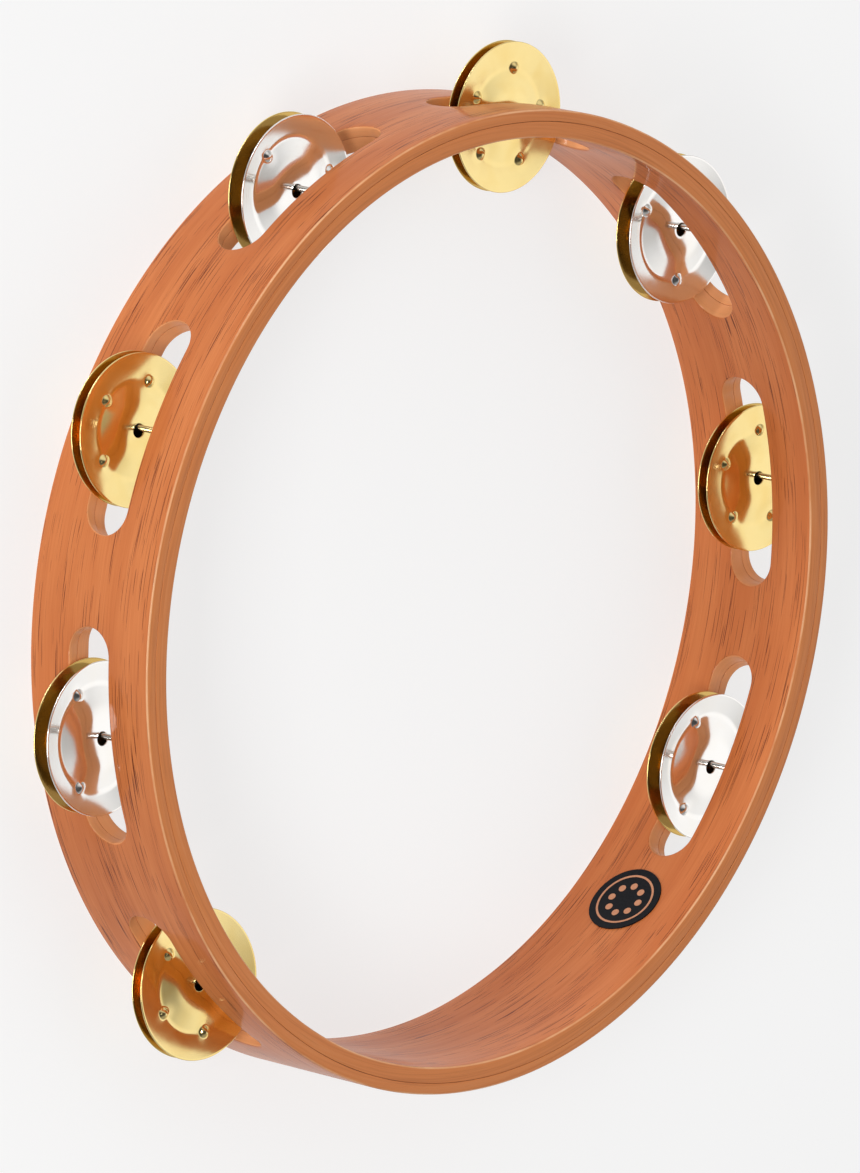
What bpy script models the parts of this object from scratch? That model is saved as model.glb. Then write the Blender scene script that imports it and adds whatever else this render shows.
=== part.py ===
"""Tambourine: a laminated wooden hoop with eight pairs of jingles on steel pins.

It lies flat on its back rim: +Z is the hoop's axis and points to the front rim, and the hand-hold,
the stretch of hoop with no jingles, is towards -Y. The origin is under the middle of the whole
object's box, on the surface that it rests on. Everything is in metres.
"""

import math

import bmesh
import bpy

MM = 0.001
CLEARANCE = 0.3 * MM

# The hoop: two thick plies of bent wood, glued face to face.
HOOP_RADIUS = 127.0 * MM
HOOP_WALL = 7.2 * MM
HOOP_DEPTH = 41.0 * MM
HOOP_CENTRE_Y = -4.5 * MM
HOOP_STEPS = 96
INNER_PLY = 4.2 * MM
EDGE_CHAMFER = 0.6 * MM

# The jingle slots, cut straight through the wall.
PAIRS = 8
PAIR_SPACING = math.radians(36.5)
SLOT_LENGTH = 57.0 * MM
SLOT_WIDTH = 13.6 * MM
SLOT_END_SEGMENTS = 6
CUT_THROUGH = 20.0 * MM

# The pins: driven in from the back rim, and hidden from the front.
PIN_CIRCLE_RADIUS = 123.4 * MM
PIN_RADIUS = 0.8 * MM
PIN_BOTTOM = 0.5 * MM
PIN_TOP = 36.5 * MM
PIN_SIDES = 16
PIN_HOLE_CLEARANCE = 0.1 * MM

# The jingles: round discs of thin sheet, each with a fold between its rim and its raised middle.
JINGLE_RADIUS = 19.5 * MM
JINGLE_HOLE_RADIUS = 1.75 * MM
JINGLE_STEPS = 32
SHEET = 0.4 * MM
# How high the middle of each pair's front jingle rests over the back rim, from pair 1 to pair 8.
MIDDLE_HEIGHTS = tuple(h * MM for h in (19.8, 20.0, 19.5, 20.5, 19.5, 19.7, 20.9, 21.6))
# How far each pair leans on its pin, about X and about Y, in degrees, from pair 1 to pair 8.
LEANS = ((0, 0), (-0.6, -1.3), (0, 0), (0, 0), (0, 0), (-3.8, -1.7), (-3.6, 2.0), (-4.3, -3.4))
HANG = 0.75 * MM
HANG_DIRECTION = math.radians(-105.8)
# For each metal: radius of the flat middle, its height over the rim's edge, radius and depth of the fold.
BRASS_FORM = (6.0 * MM, 0.25 * MM, 12.4 * MM, 1.15 * MM)
STEEL_FORM = (6.8 * MM, 0.20 * MM, 13.8 * MM, 1.70 * MM)
# The distance from the front jingle's edge to the back jingle's edge.
BRASS_PAIR_GAP = 3.45 * MM
MIXED_PAIR_GAP = 5.10 * MM

# The badge: a thin round disc that follows the hoop's inner face.
BADGE_RADIUS = 10.3 * MM
BADGE_THICKNESS = 0.4 * MM
BADGE_ANGLE = math.radians(-59.1)
BADGE_HEIGHT = 19.5 * MM
BADGE_SIDES = 32

SMOOTH_ANGLE = math.radians(35)


def clear_scene():
    for obj in list(bpy.data.objects):
        bpy.data.objects.remove(obj, do_unlink=True)


def new_collection(name):
    collection = bpy.data.collections.new(name)
    bpy.context.scene.collection.children.link(collection)
    return collection


def new_material(name, color, roughness, metallic):
    material = bpy.data.materials.new(name)
    material.use_nodes = True
    shader = material.node_tree.nodes["Principled BSDF"]
    shader.inputs["Base Color"].default_value = (*color, 1.0)
    shader.inputs["Roughness"].default_value = roughness
    shader.inputs["Metallic"].default_value = metallic
    return material


def add_object(name, mesh, collection, parent=None):
    obj = bpy.data.objects.new(name, mesh)
    collection.objects.link(obj)
    obj.parent = parent
    return obj


def profile_mesh(name, points):
    """A closed outline in the XZ plane, which runs outwards along its top."""
    mesh = bpy.data.meshes.new(name)
    count = len(points)
    edges = [(i, (i + 1) % count) for i in range(count)]
    mesh.from_pydata([(x, 0.0, z) for x, z in points], edges, [])
    return mesh


def add_screw(obj, steps):
    screw = obj.modifiers.new("turn", "SCREW")
    screw.axis = "Z"
    screw.angle = math.tau
    screw.steps = steps
    screw.render_steps = steps
    screw.use_merge_vertices = True
    screw.merge_threshold = 0.01 * MM
    screw.use_smooth_shade = False
    return screw


def add_boolean(obj, cutter, operation="DIFFERENCE"):
    boolean = obj.modifiers.new(cutter.name, "BOOLEAN")
    boolean.operation = operation
    boolean.solver = "EXACT"
    boolean.object = cutter


def add_cutter(name, mesh, collection, parent):
    cutter = add_object(name, mesh, collection, parent)
    cutter.hide_render = True
    cutter.display_type = "WIRE"
    return cutter


def pin_angle(index):
    """The pins stand evenly about +Y and leave the hand-hold free around -Y."""
    return math.pi / 2 + (index - (PAIRS - 1) / 2) * PAIR_SPACING


def pin_place(index):
    angle = pin_angle(index)
    return PIN_CIRCLE_RADIUS * math.cos(angle), PIN_CIRCLE_RADIUS * math.sin(angle)


def slot_mesh():
    """Eight round-ended bars, one through the wall at each pin."""
    whole = bmesh.new()
    for index in range(PAIRS):
        bar = bmesh.new()
        bmesh.ops.create_cube(bar, size=1.0)
        bmesh.ops.scale(bar, vec=(SLOT_LENGTH, CUT_THROUGH, SLOT_WIDTH), verts=bar.verts)
        corners = [
            edge
            for edge in bar.edges
            if abs(edge.verts[0].co.y - edge.verts[1].co.y) > CUT_THROUGH / 2
        ]
        bmesh.ops.bevel(
            bar,
            geom=corners,
            offset=SLOT_WIDTH / 2 - 0.05 * MM,
            segments=SLOT_END_SEGMENTS,
            profile=0.5,
            affect="EDGES",
        )
        part = bpy.data.meshes.new("slot_bar")
        bar.to_mesh(part)
        bar.free()
        turn = pin_angle(index) - math.pi / 2
        x, y = pin_place(index)
        for vertex in part.vertices:
            along, across, up = vertex.co
            vertex.co = (
                x + along * math.cos(turn) - across * math.sin(turn),
                y + along * math.sin(turn) + across * math.cos(turn),
                up + HOOP_DEPTH / 2,
            )
        whole.from_mesh(part)
        bpy.data.meshes.remove(part)
    mesh = bpy.data.meshes.new("slots")
    whole.to_mesh(mesh)
    whole.free()
    return mesh


def rod(target, x, y, radius, bottom, top, sides):
    """Adds an upright round bar to a bmesh."""
    made = bmesh.ops.create_cone(
        target, cap_ends=True, segments=sides, radius1=radius, radius2=radius, depth=top - bottom
    )
    bmesh.ops.translate(target, vec=(x, y, (bottom + top) / 2), verts=made["verts"])


def pin_hole_mesh():
    """Blind holes, open at the back rim."""
    whole = bmesh.new()
    for index in range(PAIRS):
        x, y = pin_place(index)
        rod(whole, x, y, PIN_RADIUS + PIN_HOLE_CLEARANCE, -CLEARANCE, PIN_TOP + CLEARANCE, PIN_SIDES)
    mesh = bpy.data.meshes.new("pin_holes")
    whole.to_mesh(mesh)
    whole.free()
    return mesh


def ply_outline(inner, outer, chamfer_inner):
    """A ply's section. The chamfer is on the side that faces away from the glue line."""
    top, cut = HOOP_DEPTH, EDGE_CHAMFER
    if chamfer_inner:
        return [
            (inner, top - cut),
            (inner + cut, top),
            (outer, top),
            (outer, 0.0),
            (inner + cut, 0.0),
            (inner, cut),
        ]
    return [
        (inner, top),
        (outer - cut, top),
        (outer, top - cut),
        (outer, cut),
        (outer - cut, 0.0),
        (inner, 0.0),
    ]


def make_hoop(parts, cutters, centre, wood_inner, wood_outer):
    slots = add_cutter("slots", slot_mesh(), cutters, centre)
    holes = add_cutter("pin_holes", pin_hole_mesh(), cutters, centre)
    inside = HOOP_RADIUS - HOOP_WALL
    seam = inside + INNER_PLY
    plies = (
        ("inner_ply", ply_outline(inside, seam - CLEARANCE / 2, True), wood_inner),
        ("outer_ply", ply_outline(seam + CLEARANCE / 2, HOOP_RADIUS, False), wood_outer),
    )
    for name, outline, material in plies:
        ply = add_object(name, profile_mesh(name, outline), parts, centre)
        ply.data.materials.append(material)
        add_screw(ply, HOOP_STEPS)
        add_boolean(ply, slots)
        add_boolean(ply, holes)


def make_pin(parts, parent, index, steel):
    build = bmesh.new()
    rod(build, 0.0, 0.0, PIN_RADIUS, PIN_BOTTOM, PIN_TOP, PIN_SIDES)
    mesh = bpy.data.meshes.new(f"pin_{index + 1}")
    build.to_mesh(mesh)
    build.free()
    pin = add_object(f"pin_{index + 1}", mesh, parts, parent)
    mesh.materials.append(steel)
    mesh.shade_smooth()
    mesh.set_sharp_from_angle(angle=SMOOTH_ANGLE)


def jingle_outline(form):
    """The section of a disc whose edge is at height 0 and whose middle is raised towards +Z."""
    middle_radius, middle_height, fold_radius, fold_depth = form
    upper = [
        (JINGLE_HOLE_RADIUS, middle_height),
        (middle_radius, middle_height),
        (fold_radius, -fold_depth),
        (JINGLE_RADIUS, 0.0),
    ]
    lower = [(radius, height - SHEET) for radius, height in reversed(upper)]
    return upper + lower


def make_jingle(parts, parent, name, form, height, lean, facing_back, metal):
    """A jingle hangs on its pin by the edge of its hole. A back jingle is the same disc turned over."""
    outline = jingle_outline(form)
    if facing_back:
        outline = [(radius, -z) for radius, z in reversed(outline)]
    jingle = add_object(name, profile_mesh(name, outline), parts, parent)
    jingle.location = (
        HANG * math.cos(HANG_DIRECTION),
        HANG * math.sin(HANG_DIRECTION),
        height,
    )
    jingle.rotation_euler = (math.radians(lean[0]), math.radians(lean[1]), 0.0)
    jingle.data.materials.append(metal)
    add_screw(jingle, JINGLE_STEPS)


def make_pairs(parts, centre, brass, bright_steel, pin_steel):
    """Every second pair has a bright steel disc in front. All the discs behind are brass."""
    for index in range(PAIRS):
        x, y = pin_place(index)
        axis = add_object(f"pin_axis_{index + 1}", None, parts, centre)
        axis.location = (x, y, 0.0)
        make_pin(parts, axis, index, pin_steel)
        mixed = index % 2 == 0
        form, metal = (STEEL_FORM, bright_steel) if mixed else (BRASS_FORM, brass)
        gap = MIXED_PAIR_GAP if mixed else BRASS_PAIR_GAP
        lean = LEANS[index]
        front_edge = MIDDLE_HEIGHTS[index] - form[1]
        make_jingle(parts, axis, f"front_jingle_{index + 1}", form, front_edge, lean, False, metal)
        back_edge = front_edge - gap
        make_jingle(parts, axis, f"back_jingle_{index + 1}", BRASS_FORM, back_edge, lean, True, brass)


def make_badge(parts, cutters, centre, black):
    """A thin shell of the inner face's radius, kept only where the round cutter passes through it."""
    face = HOOP_RADIUS - HOOP_WALL - CLEARANCE
    low, high = BADGE_HEIGHT - 2 * BADGE_RADIUS, BADGE_HEIGHT + 2 * BADGE_RADIUS
    outline = [
        (face - BADGE_THICKNESS, high),
        (face, high),
        (face, low),
        (face - BADGE_THICKNESS, low),
    ]
    badge = add_object("badge", profile_mesh("badge", outline), parts, centre)
    badge.data.materials.append(black)
    add_screw(badge, HOOP_STEPS)
    build = bmesh.new()
    rod(build, 0.0, 0.0, BADGE_RADIUS, -CUT_THROUGH / 2, CUT_THROUGH / 2, BADGE_SIDES)
    mesh = bpy.data.meshes.new("badge_outline")
    build.to_mesh(mesh)
    build.free()
    cutter = add_cutter("badge_outline", mesh, cutters, centre)
    cutter.location = (face * math.cos(BADGE_ANGLE), face * math.sin(BADGE_ANGLE), BADGE_HEIGHT)
    cutter.rotation_euler = (0.0, math.pi / 2, BADGE_ANGLE)
    add_boolean(badge, cutter, "INTERSECT")


def main():
    clear_scene()
    parts = new_collection("tambourine")
    cutters = new_collection("cutters")
    cutters.hide_render = True
    centre = add_object("hoop_centre", None, parts)
    centre.location = (0.0, HOOP_CENTRE_Y, 0.0)
    wood_inner = new_material("inner_ply_wood", (0.52, 0.20, 0.09), 0.4, 0.0)
    wood_outer = new_material("outer_ply_wood", (0.58, 0.24, 0.12), 0.4, 0.0)
    brass = new_material("brass", (0.83, 0.61, 0.22), 0.18, 1.0)
    bright_steel = new_material("bright_steel", (0.82, 0.81, 0.79), 0.12, 1.0)
    pin_steel = new_material("pin_steel", (0.75, 0.74, 0.72), 0.2, 1.0)
    black = new_material("badge_black", (0.012, 0.014, 0.018), 0.45, 0.0)
    make_hoop(parts, cutters, centre, wood_inner, wood_outer)
    make_pairs(parts, centre, brass, bright_steel, pin_steel)
    make_badge(parts, cutters, centre, black)


main()
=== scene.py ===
"""Looks for the tambourine: a lacquered hoop of bent wood with eight pairs of pressed metal jingles."""

import math

import bmesh
import bpy
import numpy as np
from mathutils import Matrix, Vector


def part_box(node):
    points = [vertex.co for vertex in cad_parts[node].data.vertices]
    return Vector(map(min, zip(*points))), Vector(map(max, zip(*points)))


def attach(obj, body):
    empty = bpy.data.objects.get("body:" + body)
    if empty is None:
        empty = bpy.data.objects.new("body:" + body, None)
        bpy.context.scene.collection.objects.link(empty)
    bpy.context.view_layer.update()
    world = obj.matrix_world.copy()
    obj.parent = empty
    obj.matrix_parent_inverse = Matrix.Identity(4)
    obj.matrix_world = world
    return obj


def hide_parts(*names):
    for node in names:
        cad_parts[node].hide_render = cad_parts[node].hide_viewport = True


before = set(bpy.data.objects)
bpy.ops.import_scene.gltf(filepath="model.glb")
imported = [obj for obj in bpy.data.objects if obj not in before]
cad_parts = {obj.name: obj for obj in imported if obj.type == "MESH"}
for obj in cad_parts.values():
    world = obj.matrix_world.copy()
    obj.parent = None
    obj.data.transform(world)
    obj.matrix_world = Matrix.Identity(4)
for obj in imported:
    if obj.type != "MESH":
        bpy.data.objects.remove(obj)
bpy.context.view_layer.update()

MM = 0.001

PAIRS = 8
PAIR_SPACING = math.radians(36.5)

HOOP_LOW, HOOP_HIGH = (Vector(corner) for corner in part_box("outer_ply"))
HOOP_CENTRE = Vector(((HOOP_LOW.x + HOOP_HIGH.x) / 2, (HOOP_LOW.y + HOOP_HIGH.y) / 2, 0.0))
HOOP_RADIUS = (HOOP_HIGH.x - HOOP_LOW.x) / 2
HOOP_DEPTH = HOOP_HIGH.z - HOOP_LOW.z
HOOP_WALL = 7.2 * MM
SEAM_RADIUS = HOOP_RADIUS - HOOP_WALL + 4.2 * MM
SEAM_GAP = 0.06 * MM
SLOT_HALF_LENGTH = 28.5 * MM
SLOT_HALF_WIDTH = 6.8 * MM

JINGLE_RADIUS = 19.5 * MM
JINGLE_HOLE = 1.75 * MM
SHEET = 0.4 * MM


def rgb(red, green, blue):
    return (red, green, blue, 1.0)


def pin_angle(index):
    return math.pi / 2 + (index - (PAIRS - 1) / 2) * PAIR_SPACING


def middle(node):
    low, high = (Vector(corner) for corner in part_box(node))
    return (low + high) / 2


# ---------------------------------------------------------------- node helpers


class Nodes:
    """Short calls for building one node tree."""

    def __init__(self, tree):
        self.tree = tree

    def add(self, kind, inputs=None, **settings):
        node = self.tree.nodes.new(kind)
        for name, value in settings.items():
            setattr(node, name, value)
        for name, value in (inputs or {}).items():
            self.set(node, name, value)
        return node

    def set(self, node, name, value):
        socket = node.inputs[name]
        if isinstance(value, bpy.types.NodeSocket):
            self.tree.links.new(value, socket)
        else:
            socket.default_value = value

    def math(self, operation, a, b=0.0):
        node = self.tree.nodes.new("ShaderNodeMath")
        node.operation = operation
        self.set(node, 0, a)
        self.set(node, 1, b)
        return node.outputs[0]

    def ramp(self, value, low, high, out_low=0.0, out_high=1.0, smooth=False):
        node = self.add(
            "ShaderNodeMapRange",
            {"Value": value, "From Min": low, "From Max": high, "To Min": out_low, "To Max": out_high},
            interpolation_type="SMOOTHSTEP" if smooth else "LINEAR",
        )
        return node.outputs["Result"]

    def mix(self, factor, a, b):
        node = self.add("ShaderNodeMix", data_type="RGBA")
        self.set(node, 0, factor)
        self.set(node, 6, a)
        self.set(node, 7, b)
        return node.outputs[2]

    def noise(self, vector, scale, detail, roughness, fourth=None, distortion=0.0):
        """Noise over a vector. fourth is the noise's fourth coordinate, where it has one."""
        inputs = {
            "Vector": vector,
            "Scale": scale,
            "Detail": detail,
            "Roughness": roughness,
            "Distortion": distortion,
        }
        if fourth is not None:
            inputs["W"] = fourth
        dimensions = "3D" if fourth is None else "4D"
        node = self.add("ShaderNodeTexNoise", noise_dimensions=dimensions)
        for name, value in inputs.items():
            self.set(node, name, value)
        return node.outputs["Fac"]

    def bump(self, height, strength, distance):
        node = self.add("ShaderNodeBump", {"Height": height, "Strength": strength, "Distance": distance})
        return node.outputs["Normal"]

    def distance_from_axis(self, x, y):
        """The length of the flat vector (x, y)."""
        squares = self.math("ADD", self.math("MULTIPLY", x, x), self.math("MULTIPLY", y, y))
        return self.math("SQRT", squares)

    def dot(self, a, b):
        node = self.add("ShaderNodeVectorMath", {0: a, 1: b}, operation="DOT_PRODUCT")
        return node.outputs["Value"]

    def stretch(self, vector, scale):
        node = self.add("ShaderNodeMapping", {"Vector": vector, "Scale": scale})
        return node.outputs["Vector"]


def new_material(name):
    material = bpy.data.materials.new(name)
    material.use_nodes = True
    nodes = Nodes(material.node_tree)
    shader = material.node_tree.nodes["Principled BSDF"]
    return material, nodes, shader


# ---------------------------------------------------------------- materials

WOOD_LIGHT = (0.555, 0.180, 0.056)
WOOD_MEDIUM = (0.470, 0.134, 0.037)
WOOD_DARK = (0.350, 0.078, 0.019)
PORE_COLOUR = rgb(0.110, 0.018, 0.006)
VENEER_EDGE = rgb(0.730, 0.245, 0.070)
VENEER_DARK_LINE = rgb(0.38, 0.100, 0.028)
VENEER_LIGHT_LINE = rgb(0.74, 0.34, 0.14)
SLOT_WALL = rgb(0.860, 0.450, 0.220)
# Painted highlight for the rims' eased corners.
PAINTED_RIM_HIGHLIGHT = rgb(0.860, 0.490, 0.260)

# Layers of the grain: length around the hoop and width across it in mm, detail, roughness and shift.
BANDS = (90.0, 8.0, 2.0, 0.5, 3.1)
STREAKS = (70.0, 1.6, 3.0, 0.6, 11.7)
FIBRES = (16.0, 0.30, 2.0, 0.6, 5.3)
PORES = (13.0, 0.20, 0.0, 0.35, 23.9)
LONG_PORES = (32.0, 0.22, 0.0, 0.35, 71.3)
PORE_FIELD = (30.0, 4.5, 1.0, 0.5, 31.0)
FIGURE_SCALE = (26.0, 26.0, 45.0)

# How far each layer's noise is used, as the ramp's low and high ends, and how strongly it shows.
BANDS_RANGE = (0.38, 0.62)
STREAKS_RANGE, STREAKS_STRENGTH = (0.50, 0.75), 0.30
FIBRES_RANGE, FIBRES_STRENGTH = (0.42, 0.66), 0.26
FIGURE_RANGE, FIGURE_STRENGTH = (0.40, 0.64), 0.40
PORE_FIELD_RANGE = (0.40, 0.62)
PORE_LIMIT_SPARSE, PORE_LIMIT_DENSE = 0.755, 0.665
PORE_SOFTNESS = (0.0, 0.03)
LONG_PORE_SOFTNESS = (0.02, 0.05)
PORE_STRENGTH = 0.95

# An edge is where the surface looks little towards or away from the hoop's axis.
EDGE_FACING = (0.86, 0.55)
EDGE_STRENGTH = 0.85
VENEER_LINES_PER_METRE = 1500.0
VENEER_WAVER = (45.0, 45.0, 45.0)
VENEER_DARK_RANGE, VENEER_DARK_STRENGTH = (0.36, 0.50), 0.24
VENEER_LIGHT_RANGE, VENEER_LIGHT_STRENGTH = (0.54, 0.66), 0.22
SLOT_WALL_OUTSIDE, SLOT_WALL_INSIDE = 0.8 * MM, 0.2 * MM
SLOT_WALL_STRENGTH = 0.5
# Where the painted highlight on the rims' eased corners starts and ends, and how it is broken up.
CORNER_START = 0.55 * MM
CORNER_END_UP, CORNER_END_OUT = 0.20 * MM, 0.25 * MM
BROKEN_SCALE = 55.0
BROKEN_RANGE = (0.34, 0.60)
BROKEN_LEAST, BROKEN_MOST = 0.20, 0.90

# Most speckles of a noise lie between these.
NOISE_RANGE = (0.3, 0.7)
WOOD_ROUGHNESS = (0.42, 0.54)
WOOD_BUMP = (0.30, 0.00008)
FIBRE_HEIGHT = 0.25
PORE_DEPTH = 0.7


def wood_material(name, depth_shift, tint):
    """Red-brown open-pored wood under clear lacquer. The grain runs around the hoop.

    depth_shift gives each ply its own grain, and tint multiplies the wood's colours.
    """
    material, nodes, shader = new_material(name)
    where = nodes.add("ShaderNodeTexCoord").outputs["Object"]
    split = nodes.add("ShaderNodeSeparateXYZ", {"Vector": where})
    x, y, z = split.outputs
    centred_y = nodes.math("SUBTRACT", y, HOOP_CENTRE.y)
    radius = nodes.distance_from_axis(x, centred_y)

    def grain(along_mm, across_mm, detail, roughness, shift):
        """Noise that is long around the hoop and short across it, with no seam."""
        vector = nodes.stretch(where, (1000 / along_mm, 1000 / along_mm, 1000 / across_mm))
        depth = nodes.math("MULTIPLY_ADD", radius, 1000 / across_mm)
        depth.node.inputs[2].default_value = shift + depth_shift
        return nodes.noise(vector, 1.0, detail, roughness, fourth=depth)

    bands = grain(*BANDS)
    streaks = grain(*STREAKS)
    fibres = grain(*FIBRES)
    figure = nodes.noise(nodes.stretch(where, FIGURE_SCALE), 1.0, 2.0, 0.5)
    pores = grain(*PORES)
    long_pores = grain(*LONG_PORES)
    pore_field = grain(*PORE_FIELD)

    light = rgb(*(value * tint for value in WOOD_LIGHT))
    medium = rgb(*(value * tint for value in WOOD_MEDIUM))
    dark = rgb(*(value * tint for value in WOOD_DARK))
    colour = nodes.mix(nodes.ramp(bands, *BANDS_RANGE), medium, light)
    colour = nodes.mix(nodes.ramp(streaks, *STREAKS_RANGE, 0.0, STREAKS_STRENGTH), colour, dark)
    colour = nodes.mix(nodes.ramp(fibres, *FIBRES_RANGE, 0.0, FIBRES_STRENGTH), colour, dark)
    colour = nodes.mix(nodes.ramp(figure, *FIGURE_RANGE, 0.0, FIGURE_STRENGTH), colour, medium)
    limit = nodes.ramp(pore_field, *PORE_FIELD_RANGE, PORE_LIMIT_SPARSE, PORE_LIMIT_DENSE)
    pore = nodes.ramp(nodes.math("SUBTRACT", pores, limit), *PORE_SOFTNESS)
    long_pore = nodes.ramp(nodes.math("SUBTRACT", long_pores, limit), *LONG_PORE_SOFTNESS)
    pore = nodes.math("MAXIMUM", pore, long_pore)
    colour = nodes.mix(nodes.math("MULTIPLY", pore, PORE_STRENGTH), colour, PORE_COLOUR)

    # The rims and the slot walls show the edges of the veneers, paler and finely lined.
    normal = nodes.add("ShaderNodeNewGeometry").outputs["True Normal"]
    sideways = nodes.add("ShaderNodeCombineXYZ", {"X": x, "Y": centred_y}).outputs["Vector"]
    outwards = nodes.add("ShaderNodeVectorMath", {0: sideways}, operation="NORMALIZE").outputs["Vector"]
    on_edge = nodes.ramp(nodes.math("ABSOLUTE", nodes.dot(normal, outwards)), *EDGE_FACING)
    line_place = nodes.math("MULTIPLY", radius, VENEER_LINES_PER_METRE)
    line_vector = nodes.add("ShaderNodeCombineXYZ", {"X": line_place}).outputs["Vector"]
    waver = nodes.stretch(where, VENEER_WAVER)
    veneer_place = nodes.add("ShaderNodeVectorMath", {0: line_vector, 1: waver}, operation="ADD")
    veneers = nodes.noise(veneer_place.outputs["Vector"], 1.0, 3.0, 0.65)
    colour = nodes.mix(nodes.math("MULTIPLY", on_edge, EDGE_STRENGTH), colour, VENEER_EDGE)
    dark_lines = nodes.ramp(veneers, *VENEER_DARK_RANGE, VENEER_DARK_STRENGTH, 0.0)
    colour = nodes.mix(nodes.math("MULTIPLY", on_edge, dark_lines), colour, VENEER_DARK_LINE)
    light_lines = nodes.ramp(veneers, *VENEER_LIGHT_RANGE, 0.0, VENEER_LIGHT_STRENGTH)
    colour = nodes.mix(nodes.math("MULTIPLY", on_edge, light_lines), colour, VENEER_LIGHT_LINE)
    up_from_middle = nodes.math("ABSOLUTE", nodes.math("SUBTRACT", z, HOOP_DEPTH / 2))
    slot_from = SLOT_HALF_WIDTH + SLOT_WALL_OUTSIDE
    slot_to = SLOT_HALF_WIDTH + SLOT_WALL_INSIDE
    in_slot = nodes.ramp(up_from_middle, slot_from, slot_to, 0.0, SLOT_WALL_STRENGTH)
    colour = nodes.mix(nodes.math("MULTIPLY", on_edge, in_slot), colour, SLOT_WALL)

    # Painted highlight: the rims' eased corners are painted pale, in broken lines, standing in for the light
    # they catch.
    beyond = nodes.math("ABSOLUTE", nodes.math("SUBTRACT", radius, HOOP_RADIUS - HOOP_WALL / 2))
    half_depth, half_wall = HOOP_DEPTH / 2, HOOP_WALL / 2
    at_rim = nodes.ramp(up_from_middle, half_depth - CORNER_START, half_depth - CORNER_END_UP, smooth=True)
    at_face = nodes.ramp(beyond, half_wall - CORNER_START, half_wall - CORNER_END_OUT, smooth=True)
    corner = nodes.math("MULTIPLY", at_rim, at_face)
    broken_noise = nodes.noise(where, BROKEN_SCALE, 3.0, 0.6)
    broken = nodes.ramp(broken_noise, *BROKEN_RANGE, BROKEN_LEAST, BROKEN_MOST)
    colour = nodes.mix(nodes.math("MULTIPLY", corner, broken), colour, PAINTED_RIM_HIGHLIGHT)
    nodes.set(shader, "Base Color", colour)

    nodes.set(shader, "Roughness", nodes.ramp(fibres, *NOISE_RANGE, *WOOD_ROUGHNESS))
    nodes.set(shader, "Specular IOR Level", 0.08)
    nodes.set(shader, "Coat Weight", 0.34)
    nodes.set(shader, "Coat Roughness", 0.12)
    nodes.set(shader, "Coat IOR", 1.38)
    fibre_height = nodes.math("MULTIPLY", fibres, FIBRE_HEIGHT)
    height = nodes.math("SUBTRACT", fibre_height, nodes.math("MULTIPLY", pore, PORE_DEPTH))
    nodes.set(shader, "Normal", nodes.bump(height, *WOOD_BUMP))
    return material


# Rings that turning leaves in a jingle's sheet, per metre of its radius.
TURNED_RINGS_PER_METRE = 1500.0
SCRATCH_STRETCH = (350.0, 5200.0, 350.0)
STAIN_RANGE, STAIN_STRENGTH = (0.42, 0.72), 0.55
# Painted shade on a jingle's side that faces its pair's other jingle: where it starts and ends, and how
# strong it is.
GAP_SHADE_FACING, GAP_SHADE_STRENGTH = (0.70, 0.85), 0.8
SCRATCH_RANGE, SCRATCH_ROUGHNESS = (0.66, 0.74), 0.08
RING_HEIGHT = 0.5
MOTTLE_HEIGHT = 0.8
SHEET_BUMP = (0.12, 0.00004)


def sheet_metal(name, base, deep, roughness_low, roughness_high, inside, inside_up):
    """Polished pressed sheet, with faint turned rings, small stains and fine scratches.

    deep is the colour of the stains. inside is a painted shade: a darker colour on the side that faces the
    pair's other jingle, standing in for the shade in the gap between them. inside_up is 1 or -1, as that
    side looks up or down.
    """
    material, nodes, shader = new_material(name)
    where = nodes.add("ShaderNodeTexCoord").outputs["Object"]
    split = nodes.add("ShaderNodeSeparateXYZ", {"Vector": where})
    x, y, _ = split.outputs
    radius = nodes.distance_from_axis(x, y)
    ring_place = nodes.math("MULTIPLY", radius, TURNED_RINGS_PER_METRE)
    ring_vector = nodes.add("ShaderNodeCombineXYZ", {"X": ring_place})
    rings = nodes.noise(ring_vector.outputs["Vector"], 1.0, 2.0, 0.6)
    mottle = nodes.noise(where, 260.0, 3.0, 0.55)
    stains = nodes.noise(where, 90.0, 2.0, 0.5, distortion=0.4)
    scratches = nodes.noise(nodes.stretch(where, SCRATCH_STRETCH), 1.0, 1.0, 0.5)
    colour = nodes.mix(nodes.ramp(stains, *STAIN_RANGE, 0.0, STAIN_STRENGTH), base, deep)
    # Painted shade: the side that faces the pair's other jingle is darkened, standing in for the shade in
    # the gap.
    normal = nodes.add("ShaderNodeNewGeometry").outputs["True Normal"]
    facing = nodes.dot(normal, (0.0, 0.0, inside_up))
    colour = nodes.mix(nodes.ramp(facing, *GAP_SHADE_FACING, 0.0, GAP_SHADE_STRENGTH), colour, inside)
    nodes.set(shader, "Base Color", colour)
    nodes.set(shader, "Metallic", 1.0)
    rough = nodes.ramp(mottle, *NOISE_RANGE, roughness_low, roughness_high)
    rough = nodes.math("ADD", rough, nodes.ramp(scratches, *SCRATCH_RANGE, 0.0, SCRATCH_ROUGHNESS))
    nodes.set(shader, "Roughness", rough)
    ring_height = nodes.math("MULTIPLY", rings, RING_HEIGHT)
    height = nodes.math("ADD", ring_height, nodes.math("MULTIPLY", mottle, MOTTLE_HEIGHT))
    nodes.set(shader, "Normal", nodes.bump(height, *SHEET_BUMP))
    return material


PIN_DARK = rgb(0.66, 0.64, 0.61)
PIN_LIGHT = rgb(0.82, 0.80, 0.77)
PIN_STRETCH = (6000.0, 6000.0, 300.0)
PIN_ROUGHNESS = (0.16, 0.28)
PIN_BUMP = (0.2, 0.00003)


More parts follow.
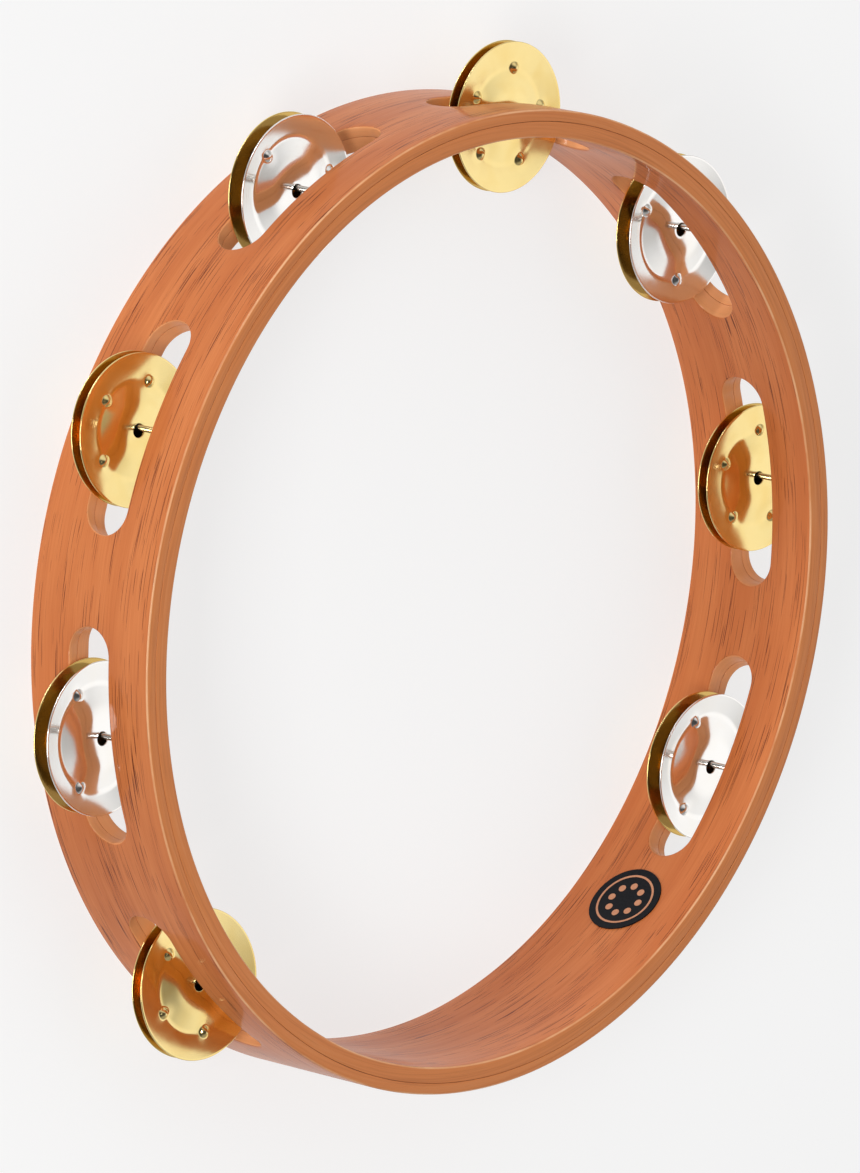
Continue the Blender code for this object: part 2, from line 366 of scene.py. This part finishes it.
def pin_material():
    """Steel wire, with fine lines along the pin from drawing it."""
    material, nodes, shader = new_material("pin_drawn_steel")
    where = nodes.add("ShaderNodeTexCoord").outputs["Object"]
    drawn = nodes.noise(nodes.stretch(where, PIN_STRETCH), 1.0, 2.0, 0.5)
    colour = nodes.mix(nodes.ramp(drawn, *NOISE_RANGE), PIN_DARK, PIN_LIGHT)
    nodes.set(shader, "Base Color", colour)
    nodes.set(shader, "Metallic", 1.0)
    nodes.set(shader, "Roughness", nodes.ramp(drawn, *NOISE_RANGE, *PIN_ROUGHNESS))
    nodes.set(shader, "Normal", nodes.bump(drawn, *PIN_BUMP))
    return material


FLECK_RANGE = (0.4, 0.7)


def flecked_material(name, scale, dark, light, roughness, bump):
    """A flat print with a fine fleck in its colour, roughness and height."""
    material, nodes, shader = new_material(name)
    where = nodes.add("ShaderNodeTexCoord").outputs["Object"]
    fleck = nodes.noise(where, scale, 2.0, 0.6)
    nodes.set(shader, "Base Color", nodes.mix(nodes.ramp(fleck, *FLECK_RANGE), dark, light))
    nodes.set(shader, "Roughness", nodes.ramp(fleck, *NOISE_RANGE, *roughness))
    nodes.set(shader, "Normal", nodes.bump(fleck, *bump))
    return material, nodes, shader


def badge_material():
    """The black print of the badge's disc."""
    black = rgb(0.003, 0.004, 0.006)
    grey = rgb(0.008, 0.009, 0.013)
    material, nodes, shader = flecked_material(
        "badge_print", 1800.0, black, grey, roughness=(0.42, 0.52), bump=(0.15, 0.00003)
    )
    nodes.set(shader, "Specular IOR Level", 0.10)
    return material


def print_material():
    """The copper-coloured print of the badge's ring and dots."""
    copper = rgb(0.55, 0.24, 0.12)
    deep_copper = rgb(0.48, 0.19, 0.09)
    material, _, _ = flecked_material(
        "badge_motif", 1500.0, copper, deep_copper, roughness=(0.38, 0.48), bump=(0.1, 0.00003)
    )
    return material


# ---------------------------------------------------------------- mesh helpers


# Points closer than this are one point, in metres.
WELD_DISTANCE = 1e-6


class Sheets:
    """Gathers grids of points into one mesh."""

    def __init__(self):
        self.points = []
        self.faces = []

    def rows(self, rows, closed_rows=False, closed_columns=False):
        """Adds a grid. rows is a list of equally long lists of points."""
        start = len(self.points)
        width = len(rows[0])
        for row in rows:
            self.points.extend(row)
        count = len(rows)
        for i in range(count if closed_rows else count - 1):
            for j in range(width if closed_columns else width - 1):
                a = start + i * width + j
                b = start + i * width + (j + 1) % width
                c = start + ((i + 1) % count) * width + (j + 1) % width
                d = start + ((i + 1) % count) * width + j
                self.faces.append((a, b, c, d))

    def finish(self, name, weld=WELD_DISTANCE):
        mesh = bpy.data.meshes.new(name)
        build = bmesh.new()
        made = [build.verts.new(point) for point in self.points]
        for face in self.faces:
            build.faces.new([made[i] for i in face])
        if weld:
            bmesh.ops.remove_doubles(build, verts=build.verts, dist=weld)
        bmesh.ops.recalc_face_normals(build, faces=build.faces)
        build.to_mesh(mesh)
        build.free()
        mesh.shade_smooth()
        return mesh


def add_piece(name, mesh, material, body, replaced=()):
    obj = bpy.data.objects.new(name, mesh)
    bpy.context.scene.collection.objects.link(obj)
    mesh.materials.append(material)
    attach(obj, body)
    if replaced:
        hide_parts(*replaced)
    return obj


def quarter(radius, steps):
    """A rounded edge as (distance in from the face that is left, depth under the other) pairs."""
    return [
        (radius * (1 - math.sin(math.pi / 2 * i / steps)), radius * (1 - math.cos(math.pi / 2 * i / steps)))
        for i in range(steps + 1)
    ]


# ---------------------------------------------------------------- hoop

RIM_EASE = 0.6 * MM
SEAM_EASE = 0.12 * MM
EASE_STEPS = 4
# A slot's edges are eased a little less than the rims'.
SLOT_EASE_SHARE = 0.85
STRAIGHT_STEPS = 26
END_STEPS = 24
CELL_RINGS = 5
GRIP_STEPS = 56
CELL_HALF = PAIR_SPACING / 2
END_CENTRE = SLOT_HALF_LENGTH - SLOT_HALF_WIDTH


def slot_outline(grow):
    """The slot's outline grown by a distance, as (along, up) pairs. It starts at the left of the top."""
    radius = SLOT_HALF_WIDTH + grow
    points = []
    for i in range(STRAIGHT_STEPS):
        points.append((-END_CENTRE + 2 * END_CENTRE * i / STRAIGHT_STEPS, radius))
    for i in range(END_STEPS):
        angle = math.pi / 2 - math.pi * i / END_STEPS
        points.append((END_CENTRE + radius * math.cos(angle), radius * math.sin(angle)))
    return points + [(-x, -z) for x, z in points]


def cell_outline(radius, half_height):
    """The cell's border as (angle, up) pairs, matched to the slot's outline point by point."""
    quarter_end = END_STEPS // 4
    edge = math.asin(END_CENTRE / radius)
    points = []
    for i in range(STRAIGHT_STEPS):
        points.append((math.asin((-END_CENTRE + 2 * END_CENTRE * i / STRAIGHT_STEPS) / radius), half_height))
    for i in range(END_STEPS):
        if i <= quarter_end:
            points.append((edge + (CELL_HALF - edge) * i / quarter_end, half_height))
        elif i <= END_STEPS - quarter_end:
            share = (i - quarter_end) / (END_STEPS - 2 * quarter_end)
            points.append((CELL_HALF, half_height * (1 - 2 * share)))
        else:
            share = (END_STEPS - i) / quarter_end
            points.append((edge + (CELL_HALF - edge) * share, -half_height))
    return points + [(-angle, -z) for angle, z in points]


def hoop_point(angle, radius, z):
    return (
        HOOP_CENTRE.x + radius * math.cos(angle),
        HOOP_CENTRE.y + radius * math.sin(angle),
        z,
    )


def make_ply(name, inner, outer, ease_inner, ease_outer, material, replaced):
    """One bent ply with its slots. ease_inner and ease_outer round its edges on either face."""
    sheets = Sheets()
    middle_z = HOOP_DEPTH / 2
    reference = (inner + outer) / 2
    faces = ((inner, ease_inner, 1.0), (outer, ease_outer, -1.0))
    for index in range(PAIRS):
        centre = pin_angle(index)
        walls = []
        for radius, ease, inwards in faces:
            # From the cell's border to the slot's edge on this face, then over the eased edge.
            half = middle_z - ease
            border = cell_outline(reference, half)
            outline = slot_outline(ease * SLOT_EASE_SHARE)
            opening = [(math.asin(along / radius), up) for along, up in outline]
            rows = []
            for ring in range(CELL_RINGS + 1):
                share = ring / CELL_RINGS
                rows.append(
                    [
                        hoop_point(
                            centre + a * (1 - share) + b * share,
                            radius,
                            middle_z + u * (1 - share) + v * share,
                        )
                        for (a, u), (b, v) in zip(border, opening)
                    ]
                )
            sheets.rows(rows, closed_columns=True)
            edge = [rows[-1]]
            for grow, depth in quarter(ease * SLOT_EASE_SHARE, EASE_STEPS)[1:]:
                depth_radius = radius + inwards * depth
                edge.append(
                    [
                        hoop_point(centre + math.asin(along / depth_radius), depth_radius, middle_z + up)
                        for along, up in slot_outline(grow)
                    ]
                )
            sheets.rows(edge, closed_columns=True)
            walls.append(edge[-1])
        sheets.rows(walls, closed_columns=True)
    # The hand-hold, a plain stretch.
    start = pin_angle(PAIRS - 1) + CELL_HALF
    end = pin_angle(0) - CELL_HALF + math.tau
    steps_up = END_STEPS // 2
    grip = [start + (end - start) * i / GRIP_STEPS for i in range(GRIP_STEPS + 1)]
    for radius, ease, _ in faces:
        half = middle_z - ease
        rows = []
        for j in range(steps_up + 1):
            z = middle_z + half * (1 - 2 * j / steps_up)
            rows.append([hoop_point(angle, radius, z) for angle in grip])
        sheets.rows(rows)
    # The rims, over both eased edges.
    angles = []
    border = [angle for angle, up in cell_outline(reference, 1.0) if up == 1.0]
    for index in range(PAIRS):
        angles += [pin_angle(index) + angle for angle in sorted(border)[:-1]]
    angles += grip[:-1]
    for top in (True, False):
        rows = [(outer - depth, grow) for grow, depth in quarter(ease_outer, EASE_STEPS)]
        inside = [(inner + depth, grow) for grow, depth in quarter(ease_inner, EASE_STEPS)]
        rows += reversed(inside)
        sheets.rows(
            [
                [hoop_point(angle, radius, HOOP_DEPTH - low if top else low) for angle in angles]
                for radius, low in rows
            ],
            closed_columns=True,
        )
    mesh = sheets.finish(name)
    return add_piece(name, mesh, material, "hoop", replaced)


def make_hoop():
    # The inner ply's lighter tint is painted light: it stands in for the brighter light and sheen on the
    # hoop's inner face.
    inner_wood = wood_material("inner_ply_lacquered", depth_shift=0.0, tint=1.12)
    outer_wood = wood_material("outer_ply_lacquered", depth_shift=50.0, tint=1.05)
    make_ply(
        "inner_ply_fine",
        HOOP_RADIUS - HOOP_WALL,
        SEAM_RADIUS - SEAM_GAP / 2,
        RIM_EASE,
        SEAM_EASE,
        inner_wood,
        ("inner_ply",),
    )
    make_ply(
        "outer_ply_fine",
        SEAM_RADIUS + SEAM_GAP / 2,
        HOOP_RADIUS,
        SEAM_EASE,
        RIM_EASE,
        outer_wood,
        ("outer_ply",),
    )


# ---------------------------------------------------------------- jingles

# For each metal: the flat middle, the fold where the rim turns up, and the circle of bumps.
FORMS = {
    "brass": {
        "flat_radius": 6.0 * MM,
        "flat_height": 0.25 * MM,
        "fold_radius": 12.4 * MM,
        "fold_depth": 1.15 * MM,
        "bumps": 5,
        "bump_circle": 12.7 * MM,
    },
    "bright_steel": {
        "flat_radius": 6.8 * MM,
        "flat_height": 0.20 * MM,
        "fold_radius": 13.8 * MM,
        "fold_depth": 1.70 * MM,
        "bumps": 3,
        "bump_circle": 13.5 * MM,
    },
}
# Where the first bump of each pair's front jingle points, in degrees.
BUMP_TURNS = (-17.3, 4.6, 24.2, -1.3, 6.2, -13.8, -8.8, -16.8)
# The back jingles' bumps are turned away from these, each by its own angle.
BACK_TURN_FACTOR = 1.7
BACK_TURN_STEP = 31
FLAT_CORNER = 2.0 * MM
FOLD_CORNER = 0.80 * MM
BUMP_RADIUS = 1.60 * MM
BUMP_HEIGHT = 1.10 * MM
BUMP_EXPONENT = 1.1
SKIRT_RADIUS = 3.40 * MM
SKIRT_HEIGHT = 0.16 * MM
# The mesh is finer within this angle of a bump's middle, and between these radii.
BUMP_REACH = math.radians(10.4)
FINE_STEP = math.radians(1.3)
COARSE_STEP = math.radians(3.4)
FINE_INSIDE, FINE_OUTSIDE = 2.3 * MM, 2.1 * MM
FINE_PITCH = 0.26 * MM
COARSE_PITCH = 0.8 * MM
LEAST_PITCH = 0.1 * MM
EDGE_STEPS = 6


def soft_corner(distance, half_width):
    """max(distance, 0) with its corner rounded over."""
    if distance <= -half_width:
        return 0.0
    if distance >= half_width:
        return distance
    return (distance + half_width) ** 2 / (4 * half_width)


def jingle_height(form, radius):
    """The height of the sheet's front side above the jingle's edge, without its bumps."""
    flat_radius, flat_height = form["flat_radius"], form["flat_height"]
    fold_radius, fold_depth = form["fold_radius"], form["fold_depth"]
    down = (-fold_depth - flat_height) / (fold_radius - flat_radius)
    up = fold_depth / (JINGLE_RADIUS - fold_radius)
    return (
        flat_height
        + down * soft_corner(radius - flat_radius, FLAT_CORNER)
        + (up - down) * soft_corner(radius - fold_radius, FOLD_CORNER)
    )


def bump_height(form, x, y, turn):
    """The height of the nearest round bump, and of the shallow skirt that pressing it raises."""
    count, circle = form["bumps"], form["bump_circle"]
    best = 0.0
    for k in range(count):
        angle = turn + math.tau * k / count
        distance = math.hypot(x - circle * math.cos(angle), y - circle * math.sin(angle))
        near = min(distance / BUMP_RADIUS, 1.0)
        wide = min(distance / SKIRT_RADIUS, 1.0)
        skirt = SKIRT_HEIGHT * (1 - wide**2) ** 2
        best = max(best, BUMP_HEIGHT * (1 - near**2) ** BUMP_EXPONENT + skirt)
    return best


def jingle_angles(count, turn):
    """Steps around the disc, closer together at the bumps."""
    angles = []
    pitch = math.tau / count
    fine = round(2 * BUMP_REACH / FINE_STEP)
    coarse = round((pitch - 2 * BUMP_REACH) / COARSE_STEP)
    for k in range(count):
        start = turn + k * pitch - BUMP_REACH
        angles += [start + 2 * BUMP_REACH * i / fine for i in range(fine)]
        start += 2 * BUMP_REACH
        angles += [start + (pitch - 2 * BUMP_REACH) * i / coarse for i in range(coarse)]
    return angles


def jingle_mesh(name, form, turn, facing_back):
    """A pressed jingle with rolled edges. Its own origin is the middle of its edge."""
    circle = form["bump_circle"]
    radii = []
    radius = JINGLE_HOLE + SHEET / 2
    while radius < JINGLE_RADIUS - SHEET / 2 - LEAST_PITCH:
        radii.append(radius)
        near_bumps = circle - FINE_INSIDE < radius < circle + FINE_OUTSIDE
        radius += FINE_PITCH if near_bumps else COARSE_PITCH
    radii.append(JINGLE_RADIUS - SHEET / 2)
    flip = -1.0 if facing_back else 1.0
    angles = jingle_angles(form["bumps"], turn)

    def row(radius, offset, reach=0.0):
        points = []
        for angle in angles:
            x, y = radius * math.cos(angle), radius * math.sin(angle)
            z = jingle_height(form, radius) + bump_height(form, x, y, turn) + offset
            out = radius + reach
            points.append((out * math.cos(angle), out * math.sin(angle), flip * z))
        return points

    sheets = Sheets()
    rows = [row(radius, 0.0) for radius in radii]
    half = SHEET / 2
    for k in range(1, EDGE_STEPS):
        angle = math.pi / 2 - math.pi * k / EDGE_STEPS
        rows.append(row(radii[-1], half * math.sin(angle) - half, half * math.cos(angle)))
    rows += [row(radius, -SHEET) for radius in reversed(radii)]
    for k in range(1, EDGE_STEPS):
        angle = -math.pi / 2 - math.pi * k / EDGE_STEPS
        rows.append(row(radii[0], half * math.sin(angle) - half, half * math.cos(angle)))
    sheets.rows(rows, closed_rows=True, closed_columns=True)
    return sheets.finish(name, weld=0)


def jingle_frame(node, form, facing_back):
    """Where a jingle's edge plane is: its centre, and its axis turned towards the front."""
    points = np.array([vertex.co[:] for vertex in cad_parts[node].data.vertices])
    centre = points.mean(axis=0)
    axis = np.linalg.svd(points - centre, full_matrices=False)[2][2]
    axis = axis if axis[2] > 0 else -axis
    heights = points @ axis
    flat_height = form["flat_height"]
    top = heights.min() + flat_height if facing_back else heights.max() - flat_height
    centre = centre + axis * (top - centre @ axis)
    turn = Vector((0.0, 0.0, 1.0)).rotation_difference(Vector(axis))
    return Matrix.Translation(Vector(centre)) @ turn.to_matrix().to_4x4()


def make_jingles():
    # Painted shade for the brass sides that face each other in a pair's gap.
    gap_shade = rgb(0.56, 0.34, 0.080)
    brass = rgb(0.96, 0.755, 0.330), rgb(0.88, 0.60, 0.17), 0.12, 0.17
    brass_front = sheet_metal("front_brass_sheet", *brass, gap_shade, -1.0)
    brass_back = sheet_metal("back_brass_sheet", *brass, gap_shade, 1.0)
    bright = rgb(0.96, 0.94, 0.91), rgb(0.93, 0.88, 0.80), 0.10, 0.15
    # The last colour is the painted shade on the steel's side that faces its pair's back jingle.
    steel = sheet_metal("front_bright_sheet", *bright, rgb(0.40, 0.36, 0.31), -1.0)
    for index in range(PAIRS):
        metal = "bright_steel" if index % 2 == 0 else "brass"
        front_finish = steel if metal == "bright_steel" else brass_front
        turn = math.radians(BUMP_TURNS[index])
        back_turn = math.radians(BUMP_TURNS[index] * BACK_TURN_FACTOR + BACK_TURN_STEP * index)
        for node, form, turned, back, finish, slot in (
            (f"front_jingle_{index + 1}", FORMS[metal], turn, False, front_finish, metal),
            (f"back_jingle_{index + 1}", FORMS["brass"], back_turn, True, brass_back, "brass"),
        ):
            mesh = jingle_mesh(f"{node}_pressed", form, turned, back)
            piece = add_piece(f"{node}_pressed", mesh, finish, node, (node,))
            piece.matrix_world = jingle_frame(node, form, back)


def dress_pins():
    steel = pin_material()
    for number in range(1, PAIRS + 1):
        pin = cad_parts[f"pin_{number}"]
        for slot in pin.material_slots:
            slot.material = steel


# ---------------------------------------------------------------- badge

BADGE_CENTRE = middle("badge")
BADGE_ANGLE = math.atan2(BADGE_CENTRE.y - HOOP_CENTRE.y, BADGE_CENTRE.x - HOOP_CENTRE.x)
BADGE_RADIUS = (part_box("badge")[1][2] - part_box("badge")[0][2]) / 2
# Depths are measured from the hoop's inner face towards its axis.
DISC_BACK, DISC_FRONT = 0.05 * MM, 0.42 * MM
MOTIF_BACK, MOTIF_FRONT = 0.40 * MM, 0.47 * MM
DISC_MIDDLE = 0.004 * MM
RING_OUTSIDE, RING_INSIDE = 8.3 * MM, 7.7 * MM
DOTS = 8
DOT_CIRCLE = 4.6 * MM
DOT_RADIUS = 1.05 * MM
DISC_STEPS, DOT_STEPS = 72, 24
SHARP_ANGLE = math.radians(40)


def bent(along, up, depth):
    """A point of the badge: on the hoop's inner face, depth in front of it."""
    radius = HOOP_RADIUS - HOOP_WALL - depth
    return hoop_point(BADGE_ANGLE + along / radius, radius, BADGE_CENTRE.z + up)


def bent_disc(sheets, along, up, radius, back, front, rings, steps, hole=0.0):
    """A thin disc or ring that follows the hoop's inner face."""
    radii = [hole + (radius - hole) * i / rings for i in range(rings + 1)]
    if not hole:
        radii[0] = DISC_MIDDLE
    angles = [math.tau * i / steps for i in range(steps)]

    def row(r, depth):
        return [bent(along + r * math.cos(a), up + r * math.sin(a), depth) for a in angles]

    rows = [row(r, front) for r in radii] + [row(r, back) for r in reversed(radii)]
    sheets.rows(rows, closed_rows=True, closed_columns=True)


def add_badge_piece(name, sheets, material, replaced=()):
    mesh = sheets.finish(name, weld=0)
    mesh.set_sharp_from_angle(angle=SHARP_ANGLE)
    add_piece(name, mesh, material, "hoop", replaced)


def make_badge():
    """A bent disc with a printed ring and a circle of dots."""
    sheets = Sheets()
    bent_disc(sheets, 0.0, 0.0, BADGE_RADIUS, DISC_BACK, DISC_FRONT, rings=8, steps=DISC_STEPS)
    add_badge_piece("badge_disc", sheets, badge_material(), ("badge",))
    motif = print_material()
    sheets = Sheets()
    bent_disc(
        sheets, 0.0, 0.0, RING_OUTSIDE, MOTIF_BACK, MOTIF_FRONT, rings=1, steps=DISC_STEPS, hole=RING_INSIDE
    )
    add_badge_piece("badge_ring", sheets, motif)
    sheets = Sheets()
    for k in range(DOTS):
        angle = math.tau * k / DOTS
        along, up = DOT_CIRCLE * math.cos(angle), DOT_CIRCLE * math.sin(angle)
        bent_disc(sheets, along, up, DOT_RADIUS, MOTIF_BACK, MOTIF_FRONT, rings=2, steps=DOT_STEPS)
    add_badge_piece("badge_dots", sheets, motif)


# ---------------------------------------------------------------- floor, light, camera

FLOOR_HALF = 6.0
# The floor is just under the back rim, so that the two surfaces don't coincide.
FLOOR_HEIGHT = -0.1 * MM
FLOOR_DARK = rgb(0.30, 0.30, 0.30)
FLOOR_LIGHT = rgb(0.31, 0.31, 0.31)
WHITE = rgb(1.0, 1.0, 1.0)
# The floor glows a little. The glow falls from the first strength to the second between two distances.
GLOW_REACH = (0.30, 1.20)
GLOW_STRENGTH = (0.70, 0.30)


def make_floor():
    mesh = bpy.data.meshes.new("studio_floor")
    sides = ((-1, -1), (1, -1), (1, 1), (-1, 1))
    corners = [(x * FLOOR_HALF, y * FLOOR_HALF, FLOOR_HEIGHT) for x, y in sides]
    mesh.from_pydata(corners, [], [(0, 1, 2, 3)])
    floor = bpy.data.objects.new("studio_floor", mesh)
    bpy.context.scene.collection.objects.link(floor)
    material, nodes, shader = new_material("studio_paper")
    where = nodes.add("ShaderNodeTexCoord").outputs["Object"]
    tone = nodes.noise(where, 0.7, 1.0, 0.5)
    nodes.set(shader, "Base Color", nodes.mix(tone, FLOOR_DARK, FLOOR_LIGHT))
    nodes.set(shader, "Roughness", 0.9)
    nodes.set(shader, "Specular IOR Level", 0.0)
    nodes.set(shader, "Emission Color", WHITE)
    reach = nodes.add("ShaderNodeVectorMath", {0: where}, operation="LENGTH").outputs["Value"]
    nodes.set(shader, "Emission Strength", nodes.ramp(reach, *GLOW_REACH, *GLOW_STRENGTH, smooth=True))
    mesh.materials.append(material)


def make_area(name, place, target, size, power):
    light = bpy.data.lights.new(name, "AREA")
    light.shape = "RECTANGLE"
    light.size, light.size_y = size
    light.energy = power
    obj = bpy.data.objects.new(name, light)
    obj.location = place
    aim = Vector(target) - Vector(place)
    obj.rotation_euler = aim.to_track_quat("-Z", "Y").to_euler()
    bpy.context.scene.collection.objects.link(obj)


# Soft patches of the studio's light: direction, inner and outer edge in degrees, added strength.
SOFT_PATCHES = (
    ((0.68, -0.25, 0.55), 4, 44, 0.70),
    ((0.10, 0.95, 0.45), 10, 55, 0.45),
    ((-0.60, 0.00, 0.75), 15, 62, -0.30),
)


WORLD_LEVEL = 0.34
WORLD_LEAST = 0.05


def make_world():
    world = bpy.data.worlds.new("studio")
    world.use_nodes = True
    bpy.context.scene.world = world
    nodes = Nodes(world.node_tree)
    background = world.node_tree.nodes["Background"]
    where = nodes.add("ShaderNodeTexCoord").outputs["Generated"]

    def lobe(direction, inner, outer, strength):
        """A soft patch of light around a direction. inner and outer are its edges in degrees."""
        aim = Vector(direction).normalized()
        low, high = math.cos(math.radians(outer)), math.cos(math.radians(inner))
        return nodes.ramp(nodes.dot(where, aim), low, high, 0.0, strength, smooth=True)

    level = WORLD_LEVEL
    for patch in SOFT_PATCHES:
        level = nodes.math("ADD", lobe(*patch), level)
    nodes.set(background, "Color", WHITE)
    nodes.set(background, "Strength", nodes.math("MAXIMUM", level, WORLD_LEAST))


CAMERA_LENS = 352.06
CAMERA_SENSOR = 36.0
CAMERA_CLIP = (0.1, 50.0)
CAMERA_PLACE = (-1.9940, 0.8842, 1.9817)
# The camera's own axes in the scene: to its right, upwards in its frame, and backwards.
CAMERA_RIGHT = Vector((0.68330, -0.07289, 0.726492))
CAMERA_UP = Vector((0.26840, 0.95041, -0.157083))
CAMERA_BACK = Vector((-0.67901, 0.30232, 0.66898))


def make_camera():
    camera = bpy.data.cameras.new("camera")
    camera.lens = CAMERA_LENS
    camera.sensor_width = CAMERA_SENSOR
    camera.clip_start, camera.clip_end = CAMERA_CLIP
    obj = bpy.data.objects.new("camera", camera)
    turn = Matrix((CAMERA_RIGHT, CAMERA_UP, CAMERA_BACK)).transposed().to_4x4()
    obj.matrix_world = Matrix.Translation(CAMERA_PLACE) @ turn
    bpy.context.scene.collection.objects.link(obj)
    bpy.context.scene.camera = obj


bpy.context.scene.view_settings.view_transform = "Standard"
make_camera()
make_floor()
make_world()
make_area("key", place=(-2.2, 0.26, 1.3), target=(0, 0, 0), size=(1.4, 0.60), power=37.0)
make_area("side fill", place=(-1.0, 2.3, 0.22), target=(0, 0, 0.02), size=(1.2, 0.30), power=19.0)
make_hoop()
make_jingles()
dress_pins()
make_badge()
